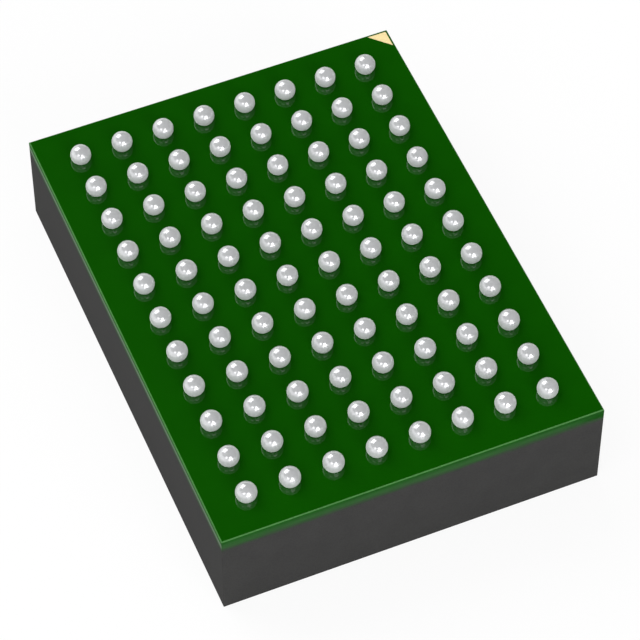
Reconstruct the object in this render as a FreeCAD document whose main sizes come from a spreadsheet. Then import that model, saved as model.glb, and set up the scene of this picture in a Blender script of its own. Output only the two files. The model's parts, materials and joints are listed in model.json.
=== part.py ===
import FreeCAD, Part
import os
import Sketcher
from FreeCAD import Rotation, Vector

# Ball grid array package, lying on its moulded face with the solder balls up, as it lies on a
# bench before it is soldered down. Millimetres. X runs along the short side, Y along the long
# side, Z up. The origin is the middle of the moulded outer face that it lies on.

# Driving dimensions: name, value, what it is.
SIZES = (
    ("body_width", 11.25, "body along X"),
    ("body_length", 15.0, "body along Y"),
    ("mould_height", 2.76, "moulding compound, from its outer face to the substrate"),
    ("core_thickness", 0.35, "glass and resin core of the substrate"),
    ("mask_thickness", 0.025, "solder mask, on each face of the core"),
    ("copper_thickness", 0.018, "ball pads and corner mark, on the core's ball face"),
    ("edge_break", 0.03, "width of the solder mask's bevelled rim round the ball face"),
    ("ball_columns", 8, "balls along X"),
    ("ball_rows", 11, "balls along Y"),
    ("ball_pitch", 1.27, "between ball centres, both ways"),
    ("ball_diameter", 0.6, "solder ball after reflow"),
    ("ball_standoff", 0.47, "ball tip above the solder mask"),
    ("ball_facets", 10, "flats round a ball"),
    ("middle_latitude", 31, "first ring of corners above a ball's widest one, in degrees"),
    ("upper_latitude", 60, "last ring of corners below a ball's tip, in degrees"),
    ("tip_diameter", 0.14, "flat at the tip of a ball, across corners"),
    ("opening_diameter", 0.5, "solder mask opening and the pad in it, across flats"),
    ("opening_facets", 8, "flats round an opening and its pad"),
    ("mark_leg", 0.58, "short sides of the corner mark beside the first ball"),
    ("mark_margin", 0.032, "solder mask left between the bevel and the corner mark"),
    ("die_width", 5.2, "silicon die along X"),
    ("die_length", 8.6, "silicon die along Y"),
    ("die_thickness", 0.3, "silicon die"),
    ("attach_thickness", 0.03, "film that glues the die to the substrate"),
    ("wire_count", 7, "bond wires on each long side of the die"),
    ("wire_pitch", 1.1, "between bond wires"),
    ("wire_thickness", 0.025, "bond wire"),
    ("wire_inset", 0.15, "from the die's edge in to a wire's first bond"),
    ("wire_reach", 0.9, "from the die's edge out to a wire's second bond"),
    ("wire_foot", 0.04, "flattened length of a second bond"),
    ("loop_height", 0.15, "wire loop beyond the die's face"),
    ("window_width", 0.5, "solder mask window over the second bonds, along X"),
    ("window_margin", 0.4, "from the last wire to the end of its window"),
)

# Rows are lettered without the letters that look like figures.
ROW_LETTERS = "abcdefghjklmnprtuvwy"

# Levels, from the die's working face up to the ball centres.
DIE_SIDE = "sizes.mould_height"
DIE_BACK = DIE_SIDE + " - sizes.attach_thickness"
DIE_FACE = DIE_BACK + " - sizes.die_thickness"
CORE_BOTTOM = DIE_SIDE + " + sizes.mask_thickness"
CORE_TOP = CORE_BOTTOM + " + sizes.core_thickness"
BALL_SIDE = CORE_TOP + " + sizes.mask_thickness"
BALL_RADIUS = "sizes.ball_diameter / 2"
BALL_CENTRE = BALL_SIDE + " + sizes.ball_standoff - " + BALL_RADIUS

# From a ball's centre down to the pad that it is soldered to.
SEAT_DEPTH = "(sizes.ball_standoff - %s + sizes.mask_thickness - sizes.copper_thickness)" % BALL_RADIUS

# The first ball of the grid is the one with the lowest X and Y.
FIRST_COLUMN = "-(sizes.ball_columns - 1) / 2 * sizes.ball_pitch"
FIRST_ROW = "-(sizes.ball_rows - 1) / 2 * sizes.ball_pitch"

# Taper of the mask's rim, which thins to nothing where the core was sawn.
RIM_TAPER = "-atan(sizes.edge_break / sizes.mask_thickness)"


def sized_sheet(doc):
    """Sheet of the driving dimensions, each with its alias."""
    sheet = doc.addObject("Spreadsheet::Sheet", "sizes")
    for row, (alias, value, meaning) in enumerate(SIZES, start=1):
        sheet.set("A%d" % row, str(value))
        sheet.set("B%d" % row, meaning)
        sheet.setAlias("A%d" % row, alias)
    doc.recompute()
    return sheet


def number_of(sheet, alias):
    """A whole number from the sheet."""
    return int(round(sheet.get(alias)))


def place(thing, x="0", y="0", z="0"):
    """Tie an object's position to the sheet."""
    for axis, size in (("x", x), ("y", y), ("z", z)):
        thing.setExpression("Placement.Base." + axis, size)


def new_body(doc, label, x="0", y="0", z="0"):
    """Empty body of one sub-part."""
    body = doc.addObject("PartDesign::Body", label)
    body.Label = label
    place(body, x, y, z)
    return body


def origin_feature(body, role):
    """Plane or axis of a body's own origin."""
    return [feature for feature in body.Origin.OriginFeatures if feature.Role == role][0]


def new_sketch(body, name, plane="XY_Plane"):
    """Sketch on one of the body's own planes."""
    sketch = body.newObject("Sketcher::SketchObject", name)
    sketch.AttachmentSupport = [(origin_feature(body, plane), "")]
    sketch.MapMode = "FlatFace"
    return sketch


def polygon(sketch, corners):
    """Closed outline through corners, each given as its two sizes from the sketch's origin."""
    first = sketch.GeometryCount
    count = len(corners)
    for index in range(count):
        start = Rotation(Vector(0, 0, 1), 360 * index / count).multVec(Vector(1, 0, 0))
        end = Rotation(Vector(0, 0, 1), 360 * (index + 1) / count).multVec(Vector(1, 0, 0))
        sketch.addGeometry(Part.LineSegment(start, end), False)
    for index in range(count):
        following = first + (index + 1) % count
        sketch.addConstraint(Sketcher.Constraint("Coincident", first + index, 2, following, 1))
    for index, (x, y) in enumerate(corners, start=first):
        for kind, size in (("DistanceX", x), ("DistanceY", y)):
            name = "%s_%d" % (kind, index)
            number = sketch.addConstraint(Sketcher.Constraint(kind, -1, 1, index, 1, 1.0))
            sketch.renameConstraint(number, name)
            sketch.setExpression("Constraints." + name, size)


def rectangle(sketch, width, length, middle_x="0"):
    """Rectangle about a point on the sketch's X axis."""
    low_x, high_x = "%s - (%s) / 2" % (middle_x, width), "%s + (%s) / 2" % (middle_x, width)
    low_y, high_y = "-(%s) / 2" % length, "(%s) / 2" % length
    polygon(sketch, ((high_x, high_y), (low_x, high_y), (low_x, low_y), (high_x, low_y)))


def regular_polygon(sketch, count, radius, x, y):
    """Regular outline about a point, turned half a step so that flats face along the axes."""
    corners = []
    for index in range(count):
        turn = "(%d.5 * 360 / %d)" % (index, count)
        corners.append(("%s + %s * cos(%s)" % (x, radius, turn), "%s + %s * sin(%s)" % (y, radius, turn)))
    polygon(sketch, corners)


def pad(body, sketch, height):
    """Solid of a sketch, upwards."""
    feature = body.newObject("PartDesign::Pad", "pad")
    feature.Profile = sketch
    feature.setExpression("Length", height)
    return feature


def cut_through(body, sketch, depth):
    """Hole of a sketch, upwards through the plate that stands on the same plane."""
    feature = body.newObject("PartDesign::Pocket", "cut")
    feature.Profile = sketch
    feature.Reversed = True
    feature.setExpression("Length", depth)
    return feature


def repeat(body, axis, count, spacing, feature=None):
    """Evenly spaced copies along an axis, of one feature or of all that the body holds."""
    pattern = body.newObject("PartDesign::LinearPattern", "repeat")
    if feature:
        pattern.Originals = [feature]
    else:
        pattern.TransformMode = "Whole shape"
    pattern.Direction = (origin_feature(body, axis), [""])
    pattern.Mode = "Extent"
    pattern.setExpression("Length", "(%s - 1) * %s" % (count, spacing))
    pattern.setExpression("Occurrences", count)
    body.Tip = pattern
    return pattern


def repeat_over_grid(body, feature):
    """Copies of a feature at every ball of the grid, from the first ball."""
    pattern = repeat(body, "X_Axis", "sizes.ball_columns", "sizes.ball_pitch", feature)
    pattern.Direction2 = (origin_feature(body, "Y_Axis"), [""])
    pattern.Mode2 = "Extent"
    pattern.setExpression("Length2", "(sizes.ball_rows - 1) * sizes.ball_pitch")
    pattern.setExpression("Occurrences2", "sizes.ball_rows")


def plate(doc, label, level, width, length, thickness):
    """Flat rectangular piece about the Z axis."""
    body = new_body(doc, label, z=level)
    outline = new_sketch(body, "outline")
    rectangle(outline, width, length)
    pad(body, outline, thickness)
    return body


def substrate_core(doc):
    """Core of the substrate, sawn square with the mould."""
    width, length = "sizes.body_width", "sizes.body_length"
    return plate(doc, "substrate_core", CORE_BOTTOM, width, length, "sizes.core_thickness")


def mark_corners():
    """Corners of the mark, in the +X +Y corner of the ball face."""
    x = "sizes.body_width / 2 - sizes.edge_break - sizes.mark_margin"
    y = "sizes.body_length / 2 - sizes.edge_break - sizes.mark_margin"
    return ((x, y), (x + " - sizes.mark_leg", y), (x, y + " - sizes.mark_leg"))


def opening_outline(sketch, sheet):
    """Outline of a mask opening, and of the pad that fills it, at the first ball of the grid."""
    radius = "(sizes.opening_diameter / 2 / cos(180 / sizes.opening_facets))"
    regular_polygon(sketch, number_of(sheet, "opening_facets"), radius, FIRST_COLUMN, FIRST_ROW)


def ball_side_mask(doc, sheet):
    """Solder mask of the ball face: bevelled rim, a window for the mark, an opening for each ball."""
    width, length = "sizes.body_width", "sizes.body_length"
    body = plate(doc, "solder_mask_ball_side", CORE_TOP, width, length, "sizes.mask_thickness")
    body.Tip.setExpression("TaperAngle", RIM_TAPER)
    window = new_sketch(body, "mark_window")
    polygon(window, mark_corners())
    cut_through(body, window, "sizes.mask_thickness")
    opening = new_sketch(body, "ball_opening")
    opening_outline(opening, sheet)
    repeat_over_grid(body, cut_through(body, opening, "sizes.mask_thickness"))
    return body


def ball_pads(doc, sheet):
    """Copper pads on the core, one in each opening of the mask."""
    body = new_body(doc, "ball_pads", z=CORE_TOP)
    outline = new_sketch(body, "pad_outline")
    opening_outline(outline, sheet)
    repeat_over_grid(body, pad(body, outline, "sizes.copper_thickness"))
    return body


def corner_mark(doc):
    """Gold-plated triangle beside the first ball, in its window of the mask."""
    body = new_body(doc, "corner_mark", z=CORE_TOP)
    outline = new_sketch(body, "outline")
    polygon(outline, mark_corners())
    pad(body, outline, "sizes.copper_thickness")
    return body


def ball_rings():
    """Radius and height of each ring of a ball's corners about its centre, from the seat up."""
    widest = (BALL_RADIUS, "0")
    seat = ("sqrt((%s)^2 - %s^2)" % (BALL_RADIUS, SEAT_DEPTH), "-" + SEAT_DEPTH)
    rings = [seat, widest]
    for name in ("middle", "upper"):
        latitude = "sizes.%s_latitude" % name
        rings.append(("%s * cos(%s)" % (BALL_RADIUS, latitude), "%s * sin(%s)" % (BALL_RADIUS, latitude)))
    rings.append(("sizes.tip_diameter / 2", BALL_RADIUS))
    return rings


def reflowed_ball(doc):
    """One solder ball about its centre, cut flat where it wets its pad."""
    rings = []
    for number, (radius, level) in enumerate(ball_rings()):
        ring = doc.addObject("Part::RegularPolygon", "ball_ring_%d" % number)
        ring.setExpression("Polygon", "sizes.ball_facets")
        ring.setExpression("Circumradius", radius)
        place(ring, z=level)
        rings.append(ring)
    ball = doc.addObject("Part::Loft", "reflowed_ball")
    ball.Sections = rings
    ball.Solid = True
    ball.Ruled = True
    ball.Linearize = True
    doc.recompute()
    return ball


def ball_row(doc, ball, index):
    """One lettered row of solder balls; the first letter has the highest Y."""
    row_y = "((sizes.ball_rows - 1) / 2 - %d) * sizes.ball_pitch" % index
    body = new_body(doc, "solder_balls_row_" + ROW_LETTERS[index], x=FIRST_COLUMN, y=row_y, z=BALL_CENTRE)
    body.BaseFeature = ball
    doc.recompute()
    repeat(body, "X_Axis", "sizes.ball_columns", "sizes.ball_pitch")
    return body


def die(doc):
    """Silicon die, working face down, glued to the middle of the substrate."""
    return plate(doc, "die", DIE_FACE, "sizes.die_width", "sizes.die_length", "sizes.die_thickness")


def die_attach(doc):
    """Adhesive film between the die and the substrate."""
    return plate(doc, "die_attach", DIE_BACK, "sizes.die_width", "sizes.die_length", "sizes.attach_thickness")


def die_side_mask(doc):
    """Solder mask under the moulding, open over each line of second bonds."""
    width, length = "sizes.body_width", "sizes.body_length"
    body = plate(doc, "solder_mask_die_side", DIE_SIDE, width, length, "sizes.mask_thickness")
    windows = new_sketch(body, "bond_windows")
    wire_line = "(sizes.wire_count - 1) * sizes.wire_pitch + 2 * sizes.window_margin"
    for side in ("", "-"):
        rectangle(windows, "sizes.window_width", wire_line, side + "(sizes.die_width / 2 + sizes.wire_reach)")
    cut_through(body, windows, "sizes.mask_thickness")
    return body


def wire_corners():
    """Side view of a wire: up off the die, over its edge and down a long slope to the core."""
    half = "sizes.wire_thickness / 2"
    first = "sizes.die_width / 2 - sizes.wire_inset"
    second = "sizes.die_width / 2 + sizes.wire_reach"
    core = "sizes.die_thickness + sizes.attach_thickness + sizes.mask_thickness"
    return (
        ("%s - %s" % (first, half), "0"),
        ("%s - %s" % (first, half), "-sizes.loop_height"),
        (second + " + sizes.wire_foot / 2", core),
        (second + " - sizes.wire_foot / 2", core),
        ("%s + %s" % (first, half), "sizes.wire_thickness - sizes.loop_height"),
        ("%s + %s" % (first, half), "0"),
    )


def bond_wires(doc, label, turn, first_y):
    """Wires of one long side of the die, the side that the turn about Z brings them to."""
    body = new_body(doc, label, y=first_y, z=DIE_FACE)
    body.Placement.Rotation = Rotation(Vector(0, 0, 1), turn)
    side_view = new_sketch(body, "side_view", "XZ_Plane")
    polygon(side_view, wire_corners())
    wire = pad(body, side_view, "sizes.wire_thickness")
    wire.SideType = "Symmetric"
    repeat(body, "Y_Axis", "sizes.wire_count", "sizes.wire_pitch", wire)
    return body


def mould_cap(doc, enclosed):
    """Moulding compound, sawn flush with the substrate and filled round all that it encloses."""
    block = doc.addObject("Part::Box", "mould_block")
    block.setExpression("Length", "sizes.body_width")
    block.setExpression("Width", "sizes.body_length")
    block.setExpression("Height", CORE_BOTTOM)
    place(block, "-sizes.body_width / 2", "-sizes.body_length / 2")
    filling = doc.addObject("Part::MultiFuse", "enclosed")
    filling.Shapes = enclosed
    cap = doc.addObject("Part::Cut", "mould_cap")
    cap.Label = "mould_cap"
    cap.Base = block
    cap.Tool = filling
    return cap


def check(doc, parts):
    """Stop where an object failed, a cut removed nothing or a sub-part isn't whole."""
    for thing in doc.Objects:
        if "Invalid" in thing.State or "Error" in thing.State:
            raise ValueError("%s failed" % thing.Name)
        if thing.TypeId == "PartDesign::Pocket" and thing.Shape.Volume >= thing.BaseFeature.Shape.Volume:
            raise ValueError("%s in %s cuts nothing" % (thing.Name, thing.getParentGeoFeatureGroup().Label))
    for part, solids in parts:
        if part.Shape.isNull() or not part.Shape.isValid() or len(part.Shape.Solids) != solids:
            raise ValueError("%s is not %d whole solids" % (part.Label, solids))


def build():
    """All sub-parts, each with the number of solids that it holds."""
    doc = FreeCAD.newDocument("ball_grid_array")
    sheet = sized_sheet(doc)
    columns, rows = number_of(sheet, "ball_columns"), number_of(sheet, "ball_rows")
    wires = number_of(sheet, "wire_count")
    wire_span = "(sizes.wire_count - 1) / 2 * sizes.wire_pitch"
    enclosed = [
        die_side_mask(doc),
        die_attach(doc),
        die(doc),
        bond_wires(doc, "bond_wires_right", 0, "-" + wire_span),
        bond_wires(doc, "bond_wires_left", 180, wire_span),
    ]
    parts = [(part, wires if "wires" in part.Label else 1) for part in enclosed]
    parts.append((mould_cap(doc, enclosed), 1))
    parts.append((substrate_core(doc), 1))
    parts.append((ball_side_mask(doc, sheet), 1))
    parts.append((corner_mark(doc), 1))
    parts.append((ball_pads(doc, sheet), columns * rows))
    ball = reflowed_ball(doc)
    for index in range(rows):
        parts.append((ball_row(doc, ball, index), columns))
    doc.recompute()
    check(doc, parts)
    return parts


def export(parts):
    """One file for each sub-part."""
    os.makedirs("parts", exist_ok=True)
    for part, _solids in parts:
        part.Shape.exportStep("parts/%s.step" % part.Label)


export(build())
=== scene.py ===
"""Looks of an overmoulded ball grid array package that lies on its moulded face, balls up.

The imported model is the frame. Its faceted solder balls and its ball-side solder mask are replaced
by round ones of the same size, and every other node keeps its shape and gets a node material.
Lengths are in metres unless a name ends in _MM.
"""
import json
import math

import bmesh
import bpy
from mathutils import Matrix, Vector
from mathutils.geometry import delaunay_2d_cdt

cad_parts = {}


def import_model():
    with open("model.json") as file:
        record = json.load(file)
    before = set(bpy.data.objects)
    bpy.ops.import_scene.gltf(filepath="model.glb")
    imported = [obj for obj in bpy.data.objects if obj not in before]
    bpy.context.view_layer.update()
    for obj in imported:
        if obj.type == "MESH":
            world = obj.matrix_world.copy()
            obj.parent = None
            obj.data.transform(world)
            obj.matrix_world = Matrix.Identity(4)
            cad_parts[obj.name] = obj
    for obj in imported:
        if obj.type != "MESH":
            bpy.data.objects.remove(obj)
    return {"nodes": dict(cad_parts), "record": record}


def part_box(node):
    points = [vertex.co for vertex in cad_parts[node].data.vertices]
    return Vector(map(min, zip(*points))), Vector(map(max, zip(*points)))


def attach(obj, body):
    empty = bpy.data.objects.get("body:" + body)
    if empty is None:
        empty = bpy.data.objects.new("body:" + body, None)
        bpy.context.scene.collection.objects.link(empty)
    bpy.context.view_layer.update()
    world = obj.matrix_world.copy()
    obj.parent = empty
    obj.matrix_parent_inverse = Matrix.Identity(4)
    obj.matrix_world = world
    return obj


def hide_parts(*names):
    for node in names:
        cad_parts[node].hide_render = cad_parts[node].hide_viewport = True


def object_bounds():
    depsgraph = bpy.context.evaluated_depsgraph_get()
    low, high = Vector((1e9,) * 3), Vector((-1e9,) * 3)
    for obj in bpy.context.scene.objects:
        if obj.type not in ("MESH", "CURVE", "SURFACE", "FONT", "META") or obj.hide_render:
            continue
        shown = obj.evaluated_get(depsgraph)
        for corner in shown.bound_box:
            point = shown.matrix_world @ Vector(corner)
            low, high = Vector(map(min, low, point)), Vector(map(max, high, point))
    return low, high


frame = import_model()
cad_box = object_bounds()
MM = 0.001

# Camera: where it stands, and the point of the ball face that it looks at
CAMERA_EYE_MM = (-23.305, -56.538, 82.083)
CAMERA_TARGET_MM = (-0.3483, -1.6779, 3.16)
CAMERA_LENS_MM = 200.0
SENSOR_WIDTH_MM = 36.0
NEAREST_SEEN = 0.01
FARTHEST_SEEN = 20.0

# Solder balls
ROW_NODE = "solder_balls_row_"
ROW_LETTERS = "abcdefghjkl"
BALLS_PER_ROW = 8
BALL_RADIUS = 0.3 * MM
BALL_CENTRE_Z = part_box(ROW_NODE + "a")[1].z - BALL_RADIUS
BALL_SEGMENTS = 56
BALL_RINGS = 30

# Ball-side solder mask
OPENING_RADIUS = 0.25 * MM
OPENING_SEGMENTS = 48
RIM_WIDTH = 0.03 * MM

# The triangulation keeps what lies inside its outlines, and merges corners that are this close
KEEP_INSIDE = 1
MERGE_MM = 1e-6

# Studio, round the origin
FLOOR_RADIUS = 3.0
FLOOR_COLOUR = (0.9, 0.9, 0.9, 1.0)
FLOOR_GLOW = 0.9
AMBIENT_LEVEL = 0.38
SOFTBOX_DISTANCE = 3.0
CEILING_CENTRE = (7.9, 2.2, 3.6)
CEILING_RADIUS = 15.0
SCREEN_X = 3.2
SCREEN_HALF_WIDTH = 3.2
CLOTH_GAP = 0.375 * MM
CLOTH_Z = 0.1 * MM
DISC_SEGMENTS = 96
WHITE = (1.0, 1.0, 1.0, 1.0)
BLACK = (0.0, 0.0, 0.0, 1.0)


# Node helpers

# Roughness that every noise has
NOISE_ROUGHNESS = 0.55

# The values between which most of a noise lies, nearly all of it, and most distances to cell points
MOST_NOISE = (0.3, 0.7)
NEARLY_ALL_NOISE = (0.2, 0.8)
MOST_CELLS = (0.1, 0.7)

# Numbers of the sockets for colours on a Mix node
MIX_COLOURS_IN = (6, 7)
MIX_COLOUR_OUT = 2


class Graph:
    """A material's node tree, with a call for each kind of node that is used here."""

    def __init__(self, tree):
        self.tree = tree
        tree.nodes.clear()

    def node(self, kind, inputs=None, **settings):
        """A node of that kind with its settings. inputs holds values, or sockets to link from."""
        made = self.tree.nodes.new(kind)
        for name, value in settings.items():
            setattr(made, name, value)
        for name, value in (inputs or {}).items():
            if isinstance(value, bpy.types.NodeSocket):
                self.tree.links.new(value, made.inputs[name])
            else:
                made.inputs[name].default_value = value
        return made

    def millimetres(self, stretch=(1, 1, 1)):
        """Place on the object in millimetres, multiplied by stretch."""
        place = self.node("ShaderNodeTexCoord").outputs["Object"]
        scale = [s / MM for s in stretch]
        return self.node("ShaderNodeMapping", {"Vector": place, "Scale": scale}).outputs[0]

    def noise(self, place, per_mm=1.0, detail=3.0):
        """Noise from 0 to 1 with about per_mm features to a millimetre."""
        inputs = {"Vector": place, "Scale": per_mm, "Detail": detail, "Roughness": NOISE_ROUGHNESS}
        return self.node("ShaderNodeTexNoise", inputs).outputs[0]

    def cells(self, place, per_mm):
        """Distance to cell points, per_mm of them to a millimetre."""
        inputs = {"Vector": place, "Scale": per_mm}
        return self.node("ShaderNodeTexVoronoi", inputs).outputs["Distance"]

    def height(self, place):
        """The Z of a place."""
        return self.node("ShaderNodeSeparateXYZ", {"Vector": place}).outputs["Z"]

    def math(self, operation, a, b=0.0):
        """One step of arithmetic on numbers or sockets."""
        return self.node("ShaderNodeMath", {0: a, 1: b}, operation=operation).outputs[0]

    def span(self, value, low, high, to_low=0.0, to_high=1.0):
        """Maps low..high to to_low..to_high with soft ends, and holds it outside."""
        inputs = {"Value": value, "From Min": low, "From Max": high,
                  "To Min": to_low, "To Max": to_high}
        return self.node("ShaderNodeMapRange", inputs, interpolation_type="SMOOTHSTEP").outputs[0]

    def tone(self, first, first_range, second, share):
        """From 0 to 1: share of it by the first value over its range, the rest by the second, a noise."""
        return self.math("ADD", self.span(first, *first_range, 0.0, share),
                         self.span(second, *MOST_NOISE, 0.0, 1.0 - share))

    def blend(self, share, first, second):
        """Colour between first and second by share."""
        made = self.node("ShaderNodeMix", {"Factor": share}, data_type="RGBA")
        for number, value in zip(MIX_COLOURS_IN, (first, second)):
            if isinstance(value, bpy.types.NodeSocket):
                self.tree.links.new(value, made.inputs[number])
            else:
                made.inputs[number].default_value = (*value, 1.0)
        return made.outputs[MIX_COLOUR_OUT]

    def shade(self, share, colour, low, high):
        """Colour from low to high times its strength by share."""
        return self.blend(share, [c * low for c in colour], [c * high for c in colour])

    def bump(self, height, depth, strength):
        """Normal for a height from 0 to 1 that is depth metres tall."""
        inputs = {"Height": height, "Distance": depth, "Strength": strength}
        return self.node("ShaderNodeBump", inputs).outputs[0]

    def surface(self, inputs):
        """Ends the tree in a principled shader with those inputs."""
        shader = self.node("ShaderNodeBsdfPrincipled", inputs)
        self.node("ShaderNodeOutputMaterial", {"Surface": shader.outputs[0]})


def new_material(name):
    """An empty node material and its graph."""
    material = bpy.data.materials.new(name)
    material.use_nodes = True
    return material, Graph(material.node_tree)


# Materials

# Colours of the surfaces, or the two that a noise blends
MASK_GREEN = (0.0034, 0.0680, 0.0004)
# Lighter green of the mask's rim: a painted highlight along the sawn edge
RIM_PAINTED_HIGHLIGHT_GREEN = (0.0570, 0.1780, 0.0470)
EDGE_GREEN = (0.0056, 0.0640, 0.0040)
MOULD_GREY = (0.0378, 0.0376, 0.0371)
GOLD = (0.9500, 0.7700, 0.3900)
SOLDER_GREY = (0.6050, 0.6110, 0.6240)
COPPERS = ((0.66, 0.33, 0.20), (0.76, 0.40, 0.25))
SILICON_GREYS = ((0.15, 0.16, 0.18), (0.21, 0.22, 0.24))
ADHESIVE_GREYS = ((0.44, 0.44, 0.42), (0.56, 0.56, 0.54))
WIRE_GOLDS = ((0.92, 0.68, 0.27), (0.98, 0.76, 0.34))

# Sawn sides: the green fades out below the core's middle, and the laminate has one smooth line
CORE_MIDDLE_MM = sum(corner.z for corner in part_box("substrate_core")) / 2 / MM
FADE_DEPTH_MM = 0.32
FADE_WANDER_MM = 0.02
SMOOTH_LINE_MM = CORE_MIDDLE_MM - 0.02
SMOOTH_REACH_MM = 0.19


def edge_fade(graph, place):
    """1 in the green of the substrate's edge and 0 in the mould's grey, over an uneven boundary."""
    boundary_noise = graph.noise(graph.millimetres(stretch=(1.5, 1.5, 6.0)))
    wander = graph.span(boundary_noise, *MOST_NOISE, -FADE_WANDER_MM, FADE_WANDER_MM)
    height = graph.math("ADD", graph.height(place), wander)
    return graph.span(height, CORE_MIDDLE_MM - FADE_DEPTH_MM, CORE_MIDDLE_MM)


def moulding_compound():
    """Dark grey epoxy with fine filler, its sides sawn, its grey turning green towards the substrate."""
    material, graph = new_material("moulding_compound")
    place = graph.millimetres()
    filler = graph.cells(place, per_mm=22.0)
    cloud = graph.noise(place, per_mm=1.2)
    saw = graph.noise(graph.millimetres(stretch=(0.6, 0.6, 30.0)), detail=2.0)
    tone = graph.tone(filler, MOST_CELLS, cloud, share=0.6)
    grey = graph.shade(tone, MOULD_GREY, low=0.88, high=1.12)
    relief = graph.math("ADD", graph.math("MULTIPLY", filler, 0.6),
                        graph.math("MULTIPLY", saw, 0.4))
    graph.surface({
        "Base Color": graph.blend(edge_fade(graph, place), grey, EDGE_GREEN),
        "Roughness": graph.span(cloud, *NEARLY_ALL_NOISE, 0.74, 0.84),
        "Specular IOR Level": 0.015,
        "Normal": graph.bump(relief, depth=0.002 * MM, strength=0.5),
    })
    return material


def laminate():
    """Green glass and resin laminate, sawn across its glass layers, smoothest about halfway down."""
    material, graph = new_material("laminate")
    place = graph.millimetres()
    layers = graph.noise(graph.millimetres(stretch=(1.0, 1.0, 14.0)), detail=2.0)
    fibres = graph.noise(graph.millimetres(stretch=(9.0, 9.0, 40.0)))
    resin = graph.shade(graph.span(layers, *MOST_NOISE), EDGE_GREEN, low=0.9, high=1.1)
    off_line = graph.math("ABSOLUTE", graph.math("SUBTRACT", graph.height(place), SMOOTH_LINE_MM))
    dulled = graph.span(off_line, 0.0, SMOOTH_REACH_MM, 0.26, 0.78)
    graph.surface({
        "Base Color": graph.blend(edge_fade(graph, place), MOULD_GREY, resin),
        "Roughness": graph.math("ADD", dulled, graph.span(fibres, *NEARLY_ALL_NOISE, 0.0, 0.1)),
        "Specular IOR Level": 0.08,
        "Normal": graph.bump(fibres, depth=0.002 * MM, strength=0.4),
    })
    return material


def solder_mask():
    """Smooth dark green cured ink, slightly mottled, with a faint orange peel."""
    material, graph = new_material("solder_mask")
    place = graph.millimetres()
    mottle = graph.noise(place, per_mm=0.8, detail=4.0)
    grain = graph.noise(place, per_mm=30.0)
    tone = graph.tone(mottle, MOST_NOISE, grain, share=0.7)
    peel = graph.noise(place, per_mm=2.5, detail=1.0)
    graph.surface({
        "Base Color": graph.shade(tone, MASK_GREEN, low=0.96, high=1.04),
        "Roughness": graph.span(grain, *NEARLY_ALL_NOISE, 0.04, 0.07),
        "IOR": 1.47,
        "Normal": graph.bump(peel, depth=0.0005 * MM, strength=0.3),
    })
    return material


def solder_mask_rim_painted_highlight():
    """Rim of the mask, where the saw has dulled the ink; its lighter green is a painted highlight along
    the edge.
    """
    material, graph = new_material("solder_mask_rim_painted_highlight")
    scuff = graph.noise(graph.millimetres(), per_mm=12.0)
    graph.surface({
        "Base Color": graph.shade(graph.span(scuff, *MOST_NOISE), RIM_PAINTED_HIGHLIGHT_GREEN, low=0.9, high=1.1),
        "Roughness": graph.span(scuff, *NEARLY_ALL_NOISE, 0.35, 0.5),
        "Specular IOR Level": 0.05,
        "Normal": graph.bump(scuff, depth=0.001 * MM, strength=0.4),
    })
    return material


def gold_plate():
    """Pale satin gold over copper, with the fine grain of plating."""
    material, graph = new_material("gold_plate")
    place = graph.millimetres()
    grain = graph.noise(place, per_mm=45.0)
    cloud = graph.noise(place, per_mm=5.0)
    graph.surface({
        "Base Color": graph.shade(graph.span(cloud, *MOST_NOISE), GOLD, low=0.97, high=1.01),
        "Metallic": 0.3,
        "Roughness": graph.span(grain, *NEARLY_ALL_NOISE, 0.4, 0.55),
        "Normal": graph.bump(grain, depth=0.001 * MM, strength=0.5),
    })
    return material


def copper():
    """Bare copper of the ball pads, lightly etched."""
    material, graph = new_material("copper")
    grain = graph.noise(graph.millimetres(), per_mm=40.0)
    graph.surface({
        "Base Color": graph.blend(graph.span(grain, *MOST_NOISE), *COPPERS),
        "Metallic": 1.0,
        "Roughness": graph.span(grain, *NEARLY_ALL_NOISE, 0.3, 0.5),
        "Normal": graph.bump(grain, depth=0.001 * MM, strength=0.5),
    })
    return material


def silicon():
    """Ground silicon: grey, with the parallel marks of back grinding."""
    material, graph = new_material("silicon")
    marks = graph.noise(graph.millimetres(stretch=(40.0, 1.0, 40.0)))
    graph.surface({
        "Base Color": graph.blend(marks, *SILICON_GREYS),
        "Metallic": 0.6,
        "Roughness": graph.span(marks, *NEARLY_ALL_NOISE, 0.2, 0.35),
        "Normal": graph.bump(marks, depth=0.0005 * MM, strength=0.4),
    })
    return material


def die_adhesive():
    """Cured adhesive film, milky and slightly uneven."""
    material, graph = new_material("die_adhesive")
    cloud = graph.noise(graph.millimetres(), per_mm=3.0)
    graph.surface({
        "Base Color": graph.blend(cloud, *ADHESIVE_GREYS),
        "Roughness": graph.span(cloud, *NEARLY_ALL_NOISE, 0.45, 0.6),
        "Normal": graph.bump(cloud, depth=0.002 * MM, strength=0.4),
    })
    return material


def gold_wire():
    """Drawn gold wire with faint marks along it."""
    material, graph = new_material("gold_wire")
    marks = graph.noise(graph.millimetres(stretch=(2.0, 60.0, 60.0)))
    graph.surface({
        "Base Color": graph.blend(marks, *WIRE_GOLDS),
        "Metallic": 1.0,
        "Roughness": graph.span(marks, *NEARLY_ALL_NOISE, 0.2, 0.32),
        "Normal": graph.bump(marks, depth=0.0004 * MM, strength=0.4),
    })
    return material


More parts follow.
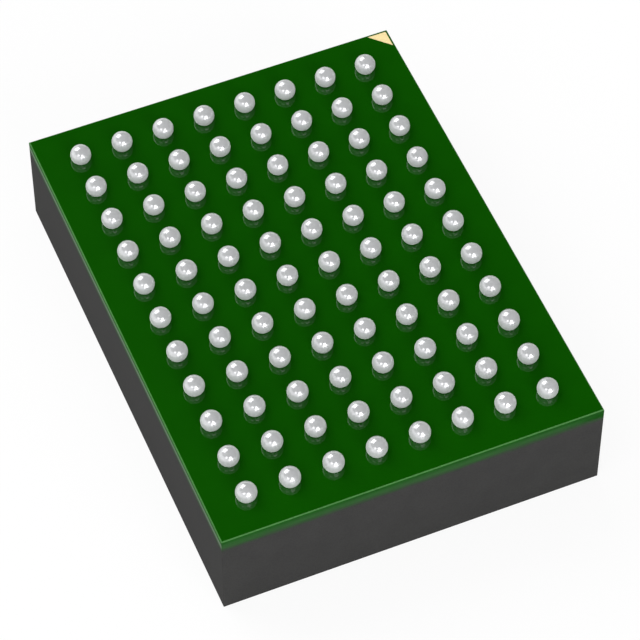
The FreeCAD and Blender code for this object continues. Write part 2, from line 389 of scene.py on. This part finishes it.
def solder():
    """Bright reflowed tin solder: its own soft grey under a clear gloss, with a fine cast grain, and a
    sheen whose green tint is a painted reflection of the green mask.
    """
    material, graph = new_material("solder")
    place = graph.millimetres()
    grain = graph.cells(place, per_mm=26.0)
    cloud = graph.noise(place, per_mm=7.0)
    tone = graph.tone(grain, MOST_CELLS, cloud, share=0.5)
    graph.surface({
        "Base Color": graph.shade(tone, SOLDER_GREY, low=0.95, high=1.05),
        "Metallic": 0.3,
        "Roughness": graph.span(cloud, *NEARLY_ALL_NOISE, 0.13, 0.19),
        "Diffuse Roughness": 0.6,
        "Sheen Weight": 0.65,
        "Sheen Roughness": 0.45,
        # Green tint of the sheen: a painted reflection of the green mask on the balls' rims
        "Sheen Tint": (0.85, 1.0, 0.85, 1.0),
        "Normal": graph.bump(grain, depth=0.0006 * MM, strength=0.3),
    })
    return material


# The mask of the die side shows only its edge, which the saw left as it left the laminate's
SAWN_EDGES = {"solder_mask_die_side": "laminate"}


def dress_frame(materials):
    """Gives every CAD node the material of its slot, or of its sawn edge."""
    for part in frame["record"]["subparts"]:
        name = part["node"]
        node = frame["nodes"][name]
        node.data.materials.clear()
        node.data.materials.append(materials[SAWN_EDGES.get(name, part["material_slot"])])


# Outlines


def circle(radius, count):
    """Corners of a circle round the origin, anticlockwise."""
    turns = [2 * math.pi * i / count for i in range(count)]
    return [(radius * math.cos(t), radius * math.sin(t)) for t in turns]


def rectangle(left, right, low, high):
    """Corners of a rectangle, anticlockwise."""
    return [(left, low), (right, low), (right, high), (left, high)]


def disc(centre, radius):
    """Corners of a level disc."""
    x, y, z = centre
    return [(x + a, y + b, z) for a, b in circle(radius, DISC_SEGMENTS)]


# Pieces


def piece_from(mesh, name, node, worn, smooth):
    """A finished piece from a bmesh, in place of that CAD node, with the materials worn."""
    bmesh.ops.recalc_face_normals(mesh, faces=mesh.faces)
    data = bpy.data.meshes.new(name)
    mesh.to_mesh(data)
    mesh.free()
    for face in data.polygons:
        face.use_smooth = smooth
    for material in worn:
        data.materials.append(material)
    piece = bpy.data.objects.new(name, data)
    bpy.context.scene.collection.objects.link(piece)
    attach(piece, "root")
    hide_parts(node)


def add_ball(mesh, x, y, base_z):
    """A round ball, cut flat where it meets its pad at base_z."""
    base_angle = math.acos((base_z - BALL_CENTRE_Z) / BALL_RADIUS)
    tip = mesh.verts.new((x, y, BALL_CENTRE_Z + BALL_RADIUS))
    rings = []
    for k in range(1, BALL_RINGS + 1):
        polar = base_angle * k / BALL_RINGS
        ring = circle(BALL_RADIUS * math.sin(polar), BALL_SEGMENTS)
        z = BALL_CENTRE_Z + BALL_RADIUS * math.cos(polar)
        rings.append([mesh.verts.new((x + a, y + b, z)) for a, b in ring])
    around = [(s, (s + 1) % BALL_SEGMENTS) for s in range(BALL_SEGMENTS)]
    for s, after in around:
        mesh.faces.new((tip, rings[0][s], rings[0][after]))
    for upper, lower in zip(rings, rings[1:]):
        for s, after in around:
            mesh.faces.new((upper[s], lower[s], lower[after], upper[after]))
    mesh.faces.new(rings[-1][::-1])


def ball_places(node):
    """Centres (x, y) of a row's balls, from the row's box."""
    low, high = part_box(node)
    first, last = low.x + BALL_RADIUS, high.x - BALL_RADIUS
    y = (low.y + high.y) / 2
    step = (last - first) / (BALLS_PER_ROW - 1)
    return [(first + step * i, y) for i in range(BALLS_PER_ROW)]


def ball_row(letter, material):
    """One lettered row of reflowed balls."""
    node = ROW_NODE + letter
    base_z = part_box(node)[0].z
    mesh = bmesh.new()
    for x, y in ball_places(node):
        add_ball(mesh, x, y, base_z)
    piece_from(mesh, "round_balls_row_" + letter, node, [material], smooth=True)


def mark_window():
    """Corners of the window round the corner mark, anticlockwise, from the mark's box."""
    low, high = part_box("corner_mark")
    return [(high.x, high.y), (low.x, high.y), (high.x, low.y)]


def inside(point, corners):
    """Whether a point lies within corners that run anticlockwise."""
    for (ax, ay), (bx, by) in zip(corners, corners[1:] + corners[:1]):
        if (bx - ax) * (point.y - ay) - (by - ay) * (point.x - ax) < 0:
            return False
    return True


def in_hole(point, holes):
    """Whether a point lies in one of the holes. Their boxes rule most of them out quickly."""
    return any(low.x < point.x < high.x and low.y < point.y < high.y and inside(point, corners)
               for low, high, corners in holes)


def outline_edges(outlines):
    """Pairs of corner numbers along each outline, with the corners numbered right through."""
    edges, start = [], 0
    for outline in outlines:
        count = len(outline)
        edges += [(start + i, start + (i + 1) % count) for i in range(count)]
        start += count
    return edges


def filled(outlines, edges):
    """Triangles of corner numbers between the first outline and the rest, which are holes."""
    scaled = [[(x / MM, y / MM) for x, y in outline] for outline in outlines]
    corners = [Vector(corner) for outline in scaled for corner in outline]
    points, _, triangles, sources, _, _ = delaunay_2d_cdt(corners, edges, [], KEEP_INSIDE, MERGE_MM)
    holes = [(Vector(map(min, *hole)), Vector(map(max, *hole)), hole) for hole in scaled[1:]]
    kept = []
    for triangle in triangles:
        middle = sum((points[i] for i in triangle), Vector((0, 0))) / len(triangle)
        if not in_hole(middle, holes):
            kept.append([sources[i][0] for i in triangle])
    return kept


def ball_side_mask(material, rim_highlight_material):
    """The printed mask: bevelled rim, the mark's window and a round opening for each ball."""
    node = "solder_mask_ball_side"
    low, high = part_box(node)
    rim = rectangle(low.x + RIM_WIDTH, high.x - RIM_WIDTH, low.y + RIM_WIDTH, high.y - RIM_WIDTH)
    opening = circle(OPENING_RADIUS, OPENING_SEGMENTS)
    openings = [[(x + a, y + b) for a, b in opening]
                for letter in ROW_LETTERS for x, y in ball_places(ROW_NODE + letter)]
    outlines = [rim, mark_window()] + openings
    edges = outline_edges(outlines)
    mesh = bmesh.new()
    upper = [mesh.verts.new((x, y, high.z)) for outline in outlines for x, y in outline]
    lower = [mesh.verts.new((x, y, low.z)) for outline in outlines for x, y in outline]
    for vert in lower[:len(rim)]:
        vert.co.x += math.copysign(RIM_WIDTH, vert.co.x)
        vert.co.y += math.copysign(RIM_WIDTH, vert.co.y)
    for a, b, c in filled(outlines, edges):
        mesh.faces.new((upper[a], upper[b], upper[c]))
        mesh.faces.new((lower[c], lower[b], lower[a]))
    walls = [mesh.faces.new((upper[a], lower[a], lower[b], upper[b])) for a, b in edges]
    # The rim walls wear the rim material, whose lighter green is a painted highlight
    for wall in walls[:len(rim)]:
        wall.material_index = 1
    worn = [material, rim_highlight_material]
    piece_from(mesh, "printed_mask_ball_side", node, worn, smooth=False)


# Studio


def camera():
    """The photo's view: far off, with a long lens."""
    data = bpy.data.cameras.new("camera")
    data.lens, data.sensor_width = CAMERA_LENS_MM, SENSOR_WIDTH_MM
    data.clip_start, data.clip_end = NEAREST_SEEN, FARTHEST_SEEN
    made = bpy.data.objects.new("camera", data)
    bpy.context.scene.collection.objects.link(made)
    eye, target = Vector(CAMERA_EYE_MM) * MM, Vector(CAMERA_TARGET_MM) * MM
    made.location = eye
    made.rotation_euler = (target - eye).to_track_quat("-Z", "Y").to_euler()
    bpy.context.scene.camera = made


def stage_mesh(name, corners, material):
    """A flat stage object with those corners."""
    data = bpy.data.meshes.new(name)
    data.from_pydata(corners, [], [range(len(corners))])
    data.materials.append(material)
    made = bpy.data.objects.new(name, data)
    bpy.context.scene.collection.objects.link(made)
    return made


def seen_rays(graph):
    """1 for camera, glossy and transmission rays, which see the plain white background."""
    path = graph.node("ShaderNodeLightPath").outputs
    either = graph.math("MAXIMUM", path["Is Camera Ray"], path["Is Glossy Ray"])
    return graph.math("MAXIMUM", either, path["Is Transmission Ray"])


def floor():
    """White floor. Part of what is seen of it is its own white, so that its shadow stays light."""
    material, graph = new_material("floor")
    plain = graph.node("ShaderNodeBsdfDiffuse", {"Color": FLOOR_COLOUR})
    glow = graph.node("ShaderNodeEmission", {"Color": WHITE, "Strength": 1.0})
    share = graph.math("MULTIPLY", seen_rays(graph), FLOOR_GLOW)
    mix = graph.node("ShaderNodeMixShader", {0: share, 1: plain.outputs[0], 2: glow.outputs[0]})
    graph.node("ShaderNodeOutputMaterial", {"Surface": mix.outputs[0]})
    stage_mesh("floor", disc((0.0, 0.0, 0.0), FLOOR_RADIUS), material)


def dark_tent():
    """Dark ceiling, and at the right a dark screen and floor. Only reflections see them."""
    material, graph = new_material("dark_cloth")
    dark = graph.node("ShaderNodeBsdfDiffuse", {"Color": BLACK})
    graph.node("ShaderNodeOutputMaterial", {"Surface": dark.outputs[0]})
    half, top = SCREEN_HALF_WIDTH, CEILING_CENTRE[2]
    start_x = cad_box[1].x + CLOTH_GAP
    sheets = {
        "ceiling": disc(CEILING_CENTRE, CEILING_RADIUS),
        "screen": [(SCREEN_X, y, z) for y, z in rectangle(-half, half, 0.0, top)],
        "cloth": [(x, y, CLOTH_Z) for x, y in rectangle(start_x, SCREEN_X, -half, half)],
    }
    for name, corners in sheets.items():
        made = stage_mesh(name, corners, material)
        made.visible_camera = False
        made.visible_diffuse = False
        made.visible_transmission = False
        made.visible_shadow = False


# Softboxes that only reflections see: radiance, direction, corners (right, up) at unit distance
REFLECTED = {
    "card_back": (4.0, (-0.269, 0.676, 0.686),
                  ((-0.38, -0.32), (0.34, -0.38), (0.38, 0.32), (-0.34, 0.38))),
    "card_left": (3.0, (-0.581, -0.560, 0.590),
                  ((-0.22, -0.10), (-0.11, -0.18), (0.11, -0.18), (0.22, -0.10),
                   (0.22, 0.10), (0.11, 0.18), (-0.11, 0.18), (-0.22, 0.10))),
    "card_front": (5.5, (0.020, -0.943, 0.345),
                   ((-0.39, -0.34), (0.42, -0.34), (0.22, 0.42), (-0.13, 0.42))),
}

# Softboxes that light matt surfaces and no reflection sees: radiance, direction, half width
SHINING = {
    "lamp_key": (2.0, (-0.770, -0.441, 0.462), 0.6),
    "lamp_back": (3.0, (-0.300, 0.770, 0.563), 0.5),
    "lamp_front": (5.6, (0.160, -0.920, 0.340), 0.3),
}


def softbox(name, radiance, direction, outline):
    """A glowing panel that faces the origin."""
    material, graph = new_material(name)
    glow = graph.node("ShaderNodeEmission", {"Color": WHITE, "Strength": radiance})
    graph.node("ShaderNodeOutputMaterial", {"Surface": glow.outputs[0]})
    away = Vector(direction).normalized()
    right = Vector((0, 0, 1)).cross(away).normalized()
    up = away.cross(right)
    corners = [(away + right * a + up * b) * SOFTBOX_DISTANCE for a, b in outline]
    made = stage_mesh(name, corners, material)
    made.visible_camera = False
    made.visible_shadow = False
    made.visible_glossy = name in REFLECTED
    made.visible_diffuse = name in SHINING


def world():
    """White to camera, glossy and transmission rays, and a plain level of light to the rest."""
    made = bpy.data.worlds.new("world")
    bpy.context.scene.world = made
    made.use_nodes = True
    graph = Graph(made.node_tree)
    strength = graph.span(seen_rays(graph), 0.0, 1.0, AMBIENT_LEVEL, 1.0)
    sky = graph.node("ShaderNodeBackground", {"Color": WHITE, "Strength": strength})
    graph.node("ShaderNodeOutputWorld", {"Surface": sky.outputs[0]})


# The scene

camera()
materials = {make.__name__: make() for make in (
    moulding_compound, laminate, solder_mask, solder_mask_rim_painted_highlight, gold_plate, copper, silicon,
    die_adhesive, gold_wire, solder)}
dress_frame(materials)
ball_side_mask(materials["solder_mask"], materials["solder_mask_rim_painted_highlight"])
for letter in ROW_LETTERS:
    ball_row(letter, materials["solder"])
floor()
dark_tent()
for name, (radiance, direction, outline) in REFLECTED.items():
    softbox(name, radiance, direction, outline)
for name, (radiance, direction, half) in SHINING.items():
    softbox(name, radiance, direction, rectangle(-half, half, -half, half))
world()
bpy.context.scene.view_settings.view_transform = "Standard"
